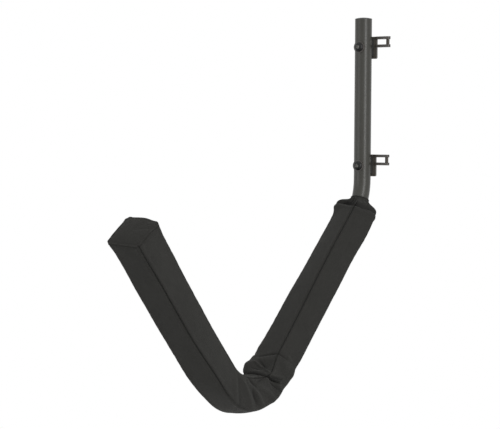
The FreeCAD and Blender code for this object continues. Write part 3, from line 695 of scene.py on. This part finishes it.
def sew_neck(pad, name):
    """End panel at the neck: cubic curves from the sleeve's seam over a puffed rim and up the tube.

    Each curve aims first along the pad to the rim, then comes in low over the foam and ends along the tube.
    The rim is fullest at the inner left corner. Gathers grow towards the tube.
    """
    sizes = pad.sizes
    around = steps_round(NECK_POINTS, pad.round)
    seam = neck_line(pad, around)
    roll = sleeve_roll(pad, seam, around)
    # Here the second result, drawn, is the painted shade at the neck's seam.
    relief, drawn = sleeve_relief(pad, seam, around)
    start = on_pad(pad, seam, around, relief - NECK_INSET, roll)
    left = pad.gap(around, pad.left_seam)
    tuck = pad.gap(around, NECK_TUCK)
    fullness = 2.0 * MM + mound(left, 2.5 * MM, 24.0 * MM) - mound(tuck, 7.5 * MM, 14.0 * MM)
    rim = on_pad(pad, seam - sizes.neck_puff, around, relief + fullness, roll)
    middle, _, inward = pad.centre_at(0.0)
    polar = np.arctan2((start - middle) @ inward, (start - middle)[:, 0])
    gather = neck_gathers(polar)
    low_radius = sizes.tube_radius + 2.2 * MM + 0.5 * MM * gather
    low = tube_ring(sizes, sizes.hem_lean + NECK_LOW_LEAN, polar, low_radius)
    end = tube_ring(sizes, sizes.hem_lean, polar, sizes.tube_radius + 0.6 * MM + 0.25 * MM * gather)
    step = np.linspace(0.0, 1.0, NECK_ROWS)[:, None]
    t = step[..., None]
    points = (1 - t) ** 3 * start + 3 * (1 - t) ** 2 * t * rim + 3 * (1 - t) * t**2 * low + t**3 * end
    spoke = (start - middle) / np.linalg.norm(start - middle, axis=-1)[:, None]
    wave = mound(step, 0.9 * MM * gather, 0.28, at=0.62)
    points = points + wave[..., None] * spoke
    sunk = np.array(NECK_SINK)[:, None] * MM
    hidden = (len(NECK_SINK), NECK_POINTS)
    turned = on_pad(pad, np.broadcast_to(seam, hidden), around, relief - NECK_INSET - sunk, roll)
    points = np.concatenate([turned, points])
    offset = points - middle
    places = np.stack([offset[..., 0], offset @ inward], axis=-1).reshape(-1, 2)
    faces = grid_faces(*points.shape[:2], closed=True)[:, ::-1]
    # Painted shade: the neck panel's colour is darkened next to its seam with the sleeve, in the recess, and
    # where it meets the tube, and fully in the hidden turned-in rows, standing in for their shadow.
    painted_shade = mound(step, 1.5 * drawn, 0.42) + mound(step, 0.35, 0.05, at=1.0)
    painted_shade = np.concatenate([np.ones(hidden), painted_shade.clip(0.0, 1.0)])
    return make_mesh(name, points.reshape(-1, 3), faces, places, painted_shade, sizes.cloth)


HEM_POINTS = 160
HEM_RING = 12


def sew_hem(sizes, name):
    """Thin rolled hem: a small oval carried round the tube at the neck panel's end, waved by the gathers."""
    polar = steps_round(HEM_POINTS, FULL_TURN)
    oval = steps_round(HEM_RING, FULL_TURN)[:, None]
    gather = neck_gathers(polar)
    radius = sizes.tube_radius + 0.75 * MM + 0.25 * MM * gather + 0.6 * MM * np.cos(oval)
    along = 0.8 * MM * np.sin(oval) + 0.35 * MM * gather
    axis = np.array([0.0, math.sin(sizes.hem_lean), math.cos(sizes.hem_lean)])
    points = tube_ring(sizes, sizes.hem_lean, polar, radius) + along[..., None] * axis
    faces = grid_faces(HEM_RING, HEM_POINTS, closed=True, closed_rows=True)[:, ::-1]
    places = np.stack(np.broadcast_arrays(polar * sizes.tube_radius, radius), axis=-1).reshape(-1, 2)
    return make_mesh(name, points.reshape(-1, 3), faces, places)


class Tree:
    """Short way to add and join the nodes of a material, world or group."""

    def __init__(self, tree):
        self.tree = tree

    def feed(self, sockets, values):
        """Give input sockets, by name or number, a value each or a link from another socket."""
        for name, value in values.items():
            if isinstance(value, bpy.types.NodeSocket):
                self.tree.links.new(value, sockets[name])
            else:
                sockets[name].default_value = value

    def add(self, kind, inputs=(), **settings):
        """Node with its settings and inputs."""
        node = self.tree.nodes.new(kind)
        for name, value in settings.items():
            setattr(node, name, value)
        self.feed(node.inputs, dict(inputs))
        return node

    def math(self, operation, *values):
        return self.add("ShaderNodeMath", dict(enumerate(values)), operation=operation).outputs[0]

    def distance(self, x, y):
        """Length of a way across by x and up by y."""
        return self.math("SQRT", self.math("ADD", self.math("POWER", x, 2.0), self.math("POWER", y, 2.0)))

    def mix(self, factor, first, second):
        return self.add("ShaderNodeMix", {0: factor, 6: first, 7: second}, data_type="RGBA").outputs[2]

    def ramp(self, value, low, high, start=0.0, end=1.0):
        """Value mapped from low..high to start..end, held at the ends."""
        ends = {"Value": value, "From Min": low, "From Max": high, "To Min": start, "To Max": end}
        return self.add("ShaderNodeMapRange", ends, clamp=True).outputs[0]

    def noise(self, vector, scale, detail=2.0, roughness=0.5):
        inputs = {"Vector": vector, "Scale": scale, "Detail": detail, "Roughness": roughness}
        return self.add("ShaderNodeTexNoise", inputs).outputs[0]

    def bump(self, height, distance, strength):
        inputs = {"Strength": strength, "Distance": distance, "Height": height}
        return self.add("ShaderNodeBump", inputs).outputs[0]


def new_group(name, inputs, outputs):
    """Shader node group with named sockets; returns its tree and the sockets inside."""
    group = bpy.data.node_groups.new(name, "ShaderNodeTree")
    for socket, kind, default in inputs:
        made = group.interface.new_socket(name=socket, in_out="INPUT", socket_type=f"NodeSocket{kind}")
        if default is not None:
            made.default_value = default
    for socket, kind in outputs:
        group.interface.new_socket(name=socket, in_out="OUTPUT", socket_type=f"NodeSocket{kind}")
    tree = Tree(group)
    return group, tree, tree.add("NodeGroupInput").outputs, tree.add("NodeGroupOutput").inputs


def weave_group():
    """Plain weave: yarns one pitch apart both ways that pass over and under each other by turns.

    Height is the half wave across the yarn on top, Yarn tells lengthwise from crosswise yarns, and Slub is
    slow unevenness along the yarns.
    """
    group, tree, given, result = new_group(
        "woven_cloth",
        [("Place", "Vector", None), ("Pitch", "Float", 0.0009)],
        [("Height", "Float"), ("Yarn", "Float"), ("Slub", "Float")],
    )
    parts = tree.add("ShaderNodeSeparateXYZ", {0: given["Place"]}).outputs
    across, along = (tree.math("DIVIDE", part, given["Pitch"]) for part in parts[:2])
    waves = [tree.math("SINE", tree.math("MULTIPLY", way, math.pi)) for way in (across, along)]
    wave_across, wave_along = (tree.math("ABSOLUTE", wave) for wave in waves)
    steps = tree.math("ADD", tree.math("FLOOR", across), tree.math("FLOOR", along))
    over = tree.math("FLOORED_MODULO", steps, 2.0)
    under = tree.math("SUBTRACT", 1.0, over)
    top_across = tree.math("MULTIPLY", over, wave_across)
    height = tree.math("ADD", top_across, tree.math("MULTIPLY", under, wave_along))
    stretched = tree.add("ShaderNodeCombineXYZ", {0: across, 1: tree.math("MULTIPLY", along, 0.06)})
    tree.feed(result, {"Height": height, "Yarn": over, "Slub": tree.noise(stretched.outputs[0], 0.8)})
    return group


def grain_group():
    """Skin of a coating or moulding: fine bumps of one size over slower unevenness, with rubbed patches.

    Height is the fine bumps, Tone the slow change of colour, and Rub a mask of the few places handled most.
    """
    group, tree, given, result = new_group(
        "coating_grain",
        [("Place", "Vector", None), ("Grain", "Float", 0.0012), ("Patch", "Float", 0.03)],
        [("Height", "Float"), ("Tone", "Float"), ("Rub", "Float")],
    )
    fine = tree.noise(given["Place"], tree.math("DIVIDE", 1.0, given["Grain"]))
    slow = tree.noise(given["Place"], tree.math("DIVIDE", 1.0, given["Patch"]), detail=3.0)
    spots = tree.noise(given["Place"], tree.math("DIVIDE", 2.6, given["Patch"]), detail=4.0, roughness=0.65)
    tone = tree.ramp(slow, 0.3, 0.7)
    tree.feed(result, {"Height": fine, "Tone": tone, "Rub": tree.ramp(spots, 0.62, 0.74)})
    return group


def named_group(name, build):
    return bpy.data.node_groups.get(name) or build()


def empty_tree(owner):
    """Cleared node tree of a material or world."""
    owner.use_nodes = True
    owner.node_tree.nodes.clear()
    return Tree(owner.node_tree)


def new_material(name):
    """Material with a plain shader; returns it, its tree and its shader's inputs."""
    material = bpy.data.materials.new(name)
    tree = empty_tree(material)
    shader = tree.add("ShaderNodeBsdfPrincipled")
    tree.add("ShaderNodeOutputMaterial", {"Surface": shader.outputs[0]})
    return material, tree, shader.inputs


WEAVE_PITCH = 0.0008
CLOTH_BUMP = 0.0003


def cloth_material(finish):
    """Charcoal woven cover cloth: two yarn tones, slubs, a soft bloom of sheen, and painted shade and rougher
    nap in creases.
    """
    material = bpy.data.materials.get("cover_cloth")
    if material:
        return material
    material, tree, shader = new_material("cover_cloth")
    flat = tree.add("ShaderNodeUVMap", uv_map="cloth").outputs[0]
    group = named_group("woven_cloth", weave_group)
    weave = tree.add("ShaderNodeGroup", {"Place": flat, "Pitch": WEAVE_PITCH}, node_tree=group).outputs
    solid = tree.add("ShaderNodeTexCoord").outputs["Object"]
    mottle = tree.noise(solid, 34.0, detail=4.0, roughness=0.6)
    nap = tree.noise(solid, 420.0, detail=3.0, roughness=0.6)
    tone = tree.math("MULTIPLY", weave["Slub"], tree.ramp(weave["Yarn"], 0.0, 1.0, 0.55, 0.85))
    tone = tree.math("ADD", tree.math("MULTIPLY", tone, 0.6), tree.math("MULTIPLY", mottle, 0.5))
    light = tree.ramp(tone, 0.2, 0.75)
    base = tree.mix(light, (*finish.cloth, 1.0), (*finish.cloth_thread, 1.0))
    dark = tree.mix(0.55, base, (*finish.weave_gap, 1.0))
    woven = tree.mix(tree.ramp(weave["Height"], 0.0, 0.45, 1.0, 0.0), base, dark)
    # Painted shade: the vertex attribute darkens the colour by up to 82% towards the shade colour in seams,
    # valleys and recesses, standing in for their shadow.
    painted_shade = tree.add("ShaderNodeAttribute", attribute_name="painted_shade").outputs["Fac"]
    with_painted_shade = tree.mix(tree.math("MULTIPLY", painted_shade, 0.82), woven, (*finish.painted_shade, 1.0))
    rough = tree.math("MAXIMUM", tree.ramp(nap, 0.3, 0.7, 0.74, 0.9), painted_shade)
    yarns = tree.math("MULTIPLY", weave["Height"], 0.7)
    height = tree.math("ADD", yarns, tree.math("MULTIPLY", nap, 0.5))
    normal = tree.bump(height, CLOTH_BUMP, 0.35)
    tree.feed(shader, {"Base Color": with_painted_shade, "Roughness": rough, "Normal": normal, "Specular IOR Level": 0.1})
    sheen = {"Sheen Weight": 0.08, "Sheen Roughness": 0.45, "Sheen Tint": (*finish.sheen, 1.0)}
    tree.feed(shader, sheen)
    return material


# Painted highlight in the bolts' drive sockets: its radius from the axis, and its depth back from the front.
SOCKET_RADIUS = (2.5 * MM, 2.9 * MM)
SOCKET_DEPTH = (3.5 * MM, 4.0 * MM)


def painted_socket_highlight(tree, solid):
    """Painted highlight, 1 in the bolts' drive sockets, by the distance from the nearer axis and the depth
    from the front.
    """
    lower, upper = (np.array(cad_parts[f"{hinge}_bolt"].bound_box) for hinge in HINGES)
    low = lower.min(axis=0)
    axis_x, _, axis_z = (low + lower.max(axis=0)) / 2
    spacing = upper[:, 2].min() - low[2]
    parts = tree.add("ShaderNodeSeparateXYZ", {0: solid}).outputs
    across = tree.math("SUBTRACT", parts[0], axis_x)
    rise = tree.math("WRAP", tree.math("SUBTRACT", parts[2], axis_z), spacing / 2, -spacing / 2)
    front = tree.ramp(parts[1], low[1] + SOCKET_DEPTH[0], low[1] + SOCKET_DEPTH[1], 1.0, 0.0)
    return tree.math("MULTIPLY", front, tree.ramp(tree.distance(across, rise), *SOCKET_RADIUS, 1.0, 0.0))


# Coatings: colour where rubbed, which the bolts also take for their painted highlight, size of grain,
# roughness, depth of bumps, metallic and specular level.
COATS = {
    "tube_coat": ((0.06, 0.06, 0.055), 0.0013, 0.35, 0.00010, 0.0, 0.46),
    # The plates' coat, rubbed colour too, is painted lighter than the ears' to make up for their shade beside
    # the tube.
    "plate_coat_painted_lighter": ((0.12, 0.11, 0.1), 0.0010, 0.42, 0.00008, 0.0, 0.5),
    "bracket_coat": ((0.09, 0.082, 0.074), 0.0010, 0.42, 0.00008, 0.0, 0.5),
    # The bolts' colour where rubbed is also the painted highlight in their sockets.
    "bolt_black": ((0.26, 0.255, 0.24), 0.0007, 0.34, 0.00003, 0.0, 0.25),
    "pin_metal": ((0.14, 0.13, 0.115), 0.0009, 0.36, 0.00002, 0.9, 0.5),
    "moulded_plastic": ((0.045, 0.045, 0.043), 0.0008, 0.5, 0.00006, 0.0, 0.5),
}


def coated_material(name, base, painted_highlight=None):
    """Coating, blackening or moulding: base colour with slow tone, rubbed patches, any painted highlight and
    a fine bumpy skin.
    """
    material = bpy.data.materials.get(name)
    if material:
        return material
    rubbed, grain, rough, bump_depth, metallic, specular = COATS[name]
    material, tree, shader = new_material(name)
    solid = tree.add("ShaderNodeTexCoord").outputs["Object"]
    group = named_group("coating_grain", grain_group)
    skin = tree.add("ShaderNodeGroup", {"Place": solid, "Grain": grain}, node_tree=group).outputs
    base = np.array(base)
    tone = tree.mix(skin["Tone"], (*(base * 0.9), 1.0), (*(base * 1.1), 1.0))
    rub_and_highlight = tree.math("MULTIPLY", skin["Rub"], 0.35)
    # The bolts' drive sockets get a painted highlight in the rubbed colour, standing in for the glint there.
    if painted_highlight:
        rub_and_highlight = tree.math("MAXIMUM", rub_and_highlight, painted_highlight(tree, solid))
    worn_and_highlighted = tree.mix(rub_and_highlight, tone, (*rubbed, 1.0))
    uneven = tree.ramp(skin["Height"], 0.25, 0.75, rough - 0.05, rough + 0.06)
    normal = tree.bump(skin["Height"], bump_depth, 0.5)
    tree.feed(shader, {"Base Color": worn_and_highlighted, "Roughness": uneven, "Normal": normal})
    tree.feed(shader, {"Metallic": metallic, "Specular IOR Level": specular})
    return material


def dress(nodes, material):
    for node in nodes:
        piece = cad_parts[node]
        for held in piece.material_slots:
            held.material = material
        if not piece.material_slots:
            piece.data.materials.append(material)


def hang_cloth(piece, material, nodes):
    """Material and body of a sewn piece that stands for CAD nodes, which it hides."""
    piece.data.materials.append(material)
    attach(piece, BODY)
    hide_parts(*nodes)


class HANGER_OT_sleeve(bpy.types.Operator):
    """Sew the four long panels of the cover over the foam"""

    bl_idname = "hanger.sleeve"
    bl_label = "Pad sleeve"

    def execute(self, context):
        given = settings(context)
        pad = PadShape(given.pad)
        cloth = cloth_material(given.finish)
        panels = (
            ("sleeve_right", ["cover_right_panel"]),
            ("sleeve_inner", ["cover_inner_panel", "foam_wall_arm"]),
            ("sleeve_left", ["cover_left_panel"]),
            ("sleeve_outer", ["cover_outer_panel", "foam_outer_arm"]),
        )
        for face, (name, nodes) in enumerate(panels):
            hang_cloth(sew_panel(pad, name, face), cloth, nodes)
        return {"FINISHED"}


class HANGER_OT_pad_ends(bpy.types.Operator):
    """Sew the end panels of the pad and the hem round the tube"""

    bl_idname = "hanger.pad_ends"
    bl_label = "Pad ends"

    def execute(self, context):
        given = settings(context)
        pad = PadShape(given.pad)
        cloth = cloth_material(given.finish)
        hang_cloth(sew_tip(pad, "tip_panel"), cloth, ["cover_tip_panel"])
        hang_cloth(sew_neck(pad, "neck_panel"), cloth, ["cover_neck_panel"])
        hang_cloth(sew_hem(given.pad, "neck_hem"), cloth, ["neck_collar"])
        return {"FINISHED"}


class HANGER_OT_tube(bpy.types.Operator):
    """Coat the tube and finish its end caps"""

    bl_idname = "hanger.tube"
    bl_label = "Tube and caps"

    def execute(self, context):
        finish = settings(context).finish
        dress(["hanger_tube"], coated_material("tube_coat", finish.tube))
        dress(["top_end_cap", "tip_end_cap"], coated_material("moulded_plastic", finish.plastic))
        return {"FINISHED"}


class HANGER_OT_hardware(bpy.types.Operator):
    """Finish the hinge brackets, bolts, nuts, washers and pins"""

    bl_idname = "hanger.hardware"
    bl_label = "Hinges and bolts"

    def execute(self, context):
        finish = settings(context).finish
        bracket = coated_material("bracket_coat", finish.bracket)
        finishes = (
            (coated_material("plate_coat_painted_lighter", finish.plate_painted_lighter), ["hinge_plate"]),
            (bracket, ["hinge_ear_top", "hinge_ear_bottom", "bolt_washer"]),
            (coated_material("moulded_plastic", finish.plastic), ["saddle"]),
            (coated_material("bolt_black", finish.bolt, painted_socket_highlight), ["bolt", "nut_washer", "lock_nut"]),
            (coated_material("pin_metal", finish.pin), ["hinge_pin"]),
        )
        for material, parts in finishes:
            dress([f"{hinge}_{part}" for hinge in HINGES for part in parts], material)
        return {"FINISHED"}


def direction(azimuth, elevation):
    """Way out from a point: azimuth 0 is towards -Y, and a quarter turn on is towards +X."""
    level = math.cos(elevation)
    return Vector((math.sin(azimuth) * level, -math.cos(azimuth) * level, math.sin(elevation)))


def add_camera(stage):
    """Camera of the scene: its right, up and back directions come from its yaw, pitch and roll."""
    data = bpy.data.cameras.new("camera")
    data.lens = stage.lens
    right = Vector((math.cos(stage.yaw), math.sin(stage.yaw), 0.0))
    back = direction(stage.yaw, stage.pitch)
    up = back.cross(right)
    turned_right = math.cos(stage.tilt) * right + math.sin(stage.tilt) * up
    turned_up = math.cos(stage.tilt) * up - math.sin(stage.tilt) * right
    axes = Matrix((turned_right, turned_up, back)).transposed().to_4x4()
    camera = add_object("camera", data)
    camera.matrix_world = Matrix.Translation(stage.camera) @ axes
    bpy.context.scene.camera = camera


# Softboxes: name, azimuth and elevation in degrees, distance from the studio's middle, and size in metres.
SOFTBOXES = (
    ("key", (68, 12), 2.1, (0.6, 1.9)),
    ("fill", (-34, -4), 2.3, (1.4, 1.6)),
    ("top", (20, 74), 2.0, (1.8, 1.8)),
)
STUDIO_MIDDLE = Vector((-0.03, -0.29, -0.06))


def add_softbox(name, angles, distance, size, watts):
    """Area lamp at a distance from the studio's middle, facing it."""
    way = direction(*(math.radians(value) for value in angles))
    data = bpy.data.lights.new(name, "AREA")
    data.shape = "RECTANGLE"
    data.size, data.size_y = size
    data.energy = watts
    facing = way.to_track_quat("Z", "Y").to_matrix().to_4x4()
    add_object(name, data).matrix_world = Matrix.Translation(STUDIO_MIDDLE + way * distance) @ facing


def seen_directly(tree):
    """1 for rays that see a surface, also in a mirror or through glass, and 0 for rays that carry light."""
    path = tree.add("ShaderNodeLightPath").outputs
    direct = tree.math("MAXIMUM", path["Is Camera Ray"], path["Is Glossy Ray"])
    return tree.math("MAXIMUM", direct, path["Is Transmission Ray"])


def add_surround(stage):
    """White surround: plain white where it is seen, and a soft even light on the object."""
    world = bpy.data.worlds.new("studio")
    tree = empty_tree(world)
    strength = tree.ramp(seen_directly(tree), 0.0, 1.0, stage.sky, 1.0)
    sky = tree.add("ShaderNodeBackground", {"Color": WHITE, "Strength": strength})
    tree.add("ShaderNodeOutputWorld", {"Surface": sky.outputs[0]})
    bpy.context.scene.world = world


FLOOR_SIDES = 96
FLOOR_MATT = 1.0
FLOOR_WHITE = 3.2


def add_floor(stage, finish):
    """Round pale floor: matt where the object's shadow falls, and white like the surround further out."""
    rings = np.concatenate([np.linspace(0.05, 1.0, 12), np.linspace(1.5, stage.floor_radius, 12)])
    turn = steps_round(FLOOR_SIDES, FULL_TURN)
    x = rings[:, None] * np.cos(turn)
    y = rings[:, None] * np.sin(turn)
    points = np.stack([x, y, np.full_like(x, stage.floor_level)], axis=-1).reshape(-1, 3)
    points = np.concatenate([points, [[0.0, 0.0, stage.floor_level]]])
    outside = grid_faces(len(rings), FLOOR_SIDES, closed=True)[:, ::-1]
    faces = np.concatenate([outside, pole_faces(0, FLOOR_SIDES, len(points) - 1)])
    floor = make_mesh("floor", points, faces, points[:, :2])
    material = bpy.data.materials.new("floor_pale")
    tree = empty_tree(material)
    solid = tree.add("ShaderNodeTexCoord").outputs["Object"]
    parts = tree.add("ShaderNodeSeparateXYZ", {0: solid}).outputs
    far = tree.ramp(tree.distance(parts[0], parts[1]), FLOOR_MATT, FLOOR_WHITE)
    matt = tree.add("ShaderNodeBsdfDiffuse", {"Color": (*finish.floor, 1.0)})
    white = tree.add("ShaderNodeEmission", {"Color": WHITE, "Strength": 1.0})
    factor = tree.math("MULTIPLY", far, seen_directly(tree))
    shown = tree.add("ShaderNodeMixShader", {0: factor, 1: matt.outputs[0], 2: white.outputs[0]})
    tree.add("ShaderNodeOutputMaterial", {"Surface": shown.outputs[0]})
    floor.data.materials.append(material)


class HANGER_OT_stage(bpy.types.Operator):
    """Set up the floor, the white surround, the lamps and the camera"""

    bl_idname = "hanger.stage"
    bl_label = "Studio"

    def execute(self, context):
        given = settings(context)
        stage = given.stage
        add_floor(stage, given.finish)
        add_surround(stage)
        for (name, *setting), watts in zip(SOFTBOXES, (stage.key, stage.fill, stage.top)):
            add_softbox(name, *setting, watts)
        add_camera(stage)
        context.scene.view_settings.view_transform = "Standard"
        return {"FINISHED"}


class HANGER_PT_panel(bpy.types.Panel):
    """Lists the steps that dress the hanger and their settings"""

    bl_label = "Padded wall hanger"
    bl_idname = "HANGER_PT_panel"
    bl_space_type = "VIEW_3D"
    bl_region_type = "UI"
    bl_category = "Hanger"

    def draw(self, context):
        for step in STEPS:
            self.layout.operator(step.bl_idname)
        given = settings(context)
        for group in (given.pad, given.finish, given.stage):
            box = self.layout.box()
            for name in group.bl_rna.properties.keys():
                if name not in ("rna_type", "name"):
                    box.prop(group, name)


STEPS = (HANGER_OT_sleeve, HANGER_OT_pad_ends, HANGER_OT_tube, HANGER_OT_hardware, HANGER_OT_stage)
CLASSES = (HANGER_PG_pad, HANGER_PG_finish, HANGER_PG_stage, HANGER_PG_settings, *STEPS, HANGER_PT_panel)


def register():
    for item in CLASSES:
        bpy.utils.register_class(item)
    bpy.types.Scene.wall_hanger = PointerProperty(type=HANGER_PG_settings)


def unregister():
    del bpy.types.Scene.wall_hanger
    for item in reversed(CLASSES):
        bpy.utils.unregister_class(item)


def main():
    register()
    bpy.ops.hanger.sleeve()
    bpy.ops.hanger.pad_ends()
    bpy.ops.hanger.tube()
    bpy.ops.hanger.hardware()
    bpy.ops.hanger.stage()
    bpy.context.view_layer.update()


if __name__ == "__main__":
    main()
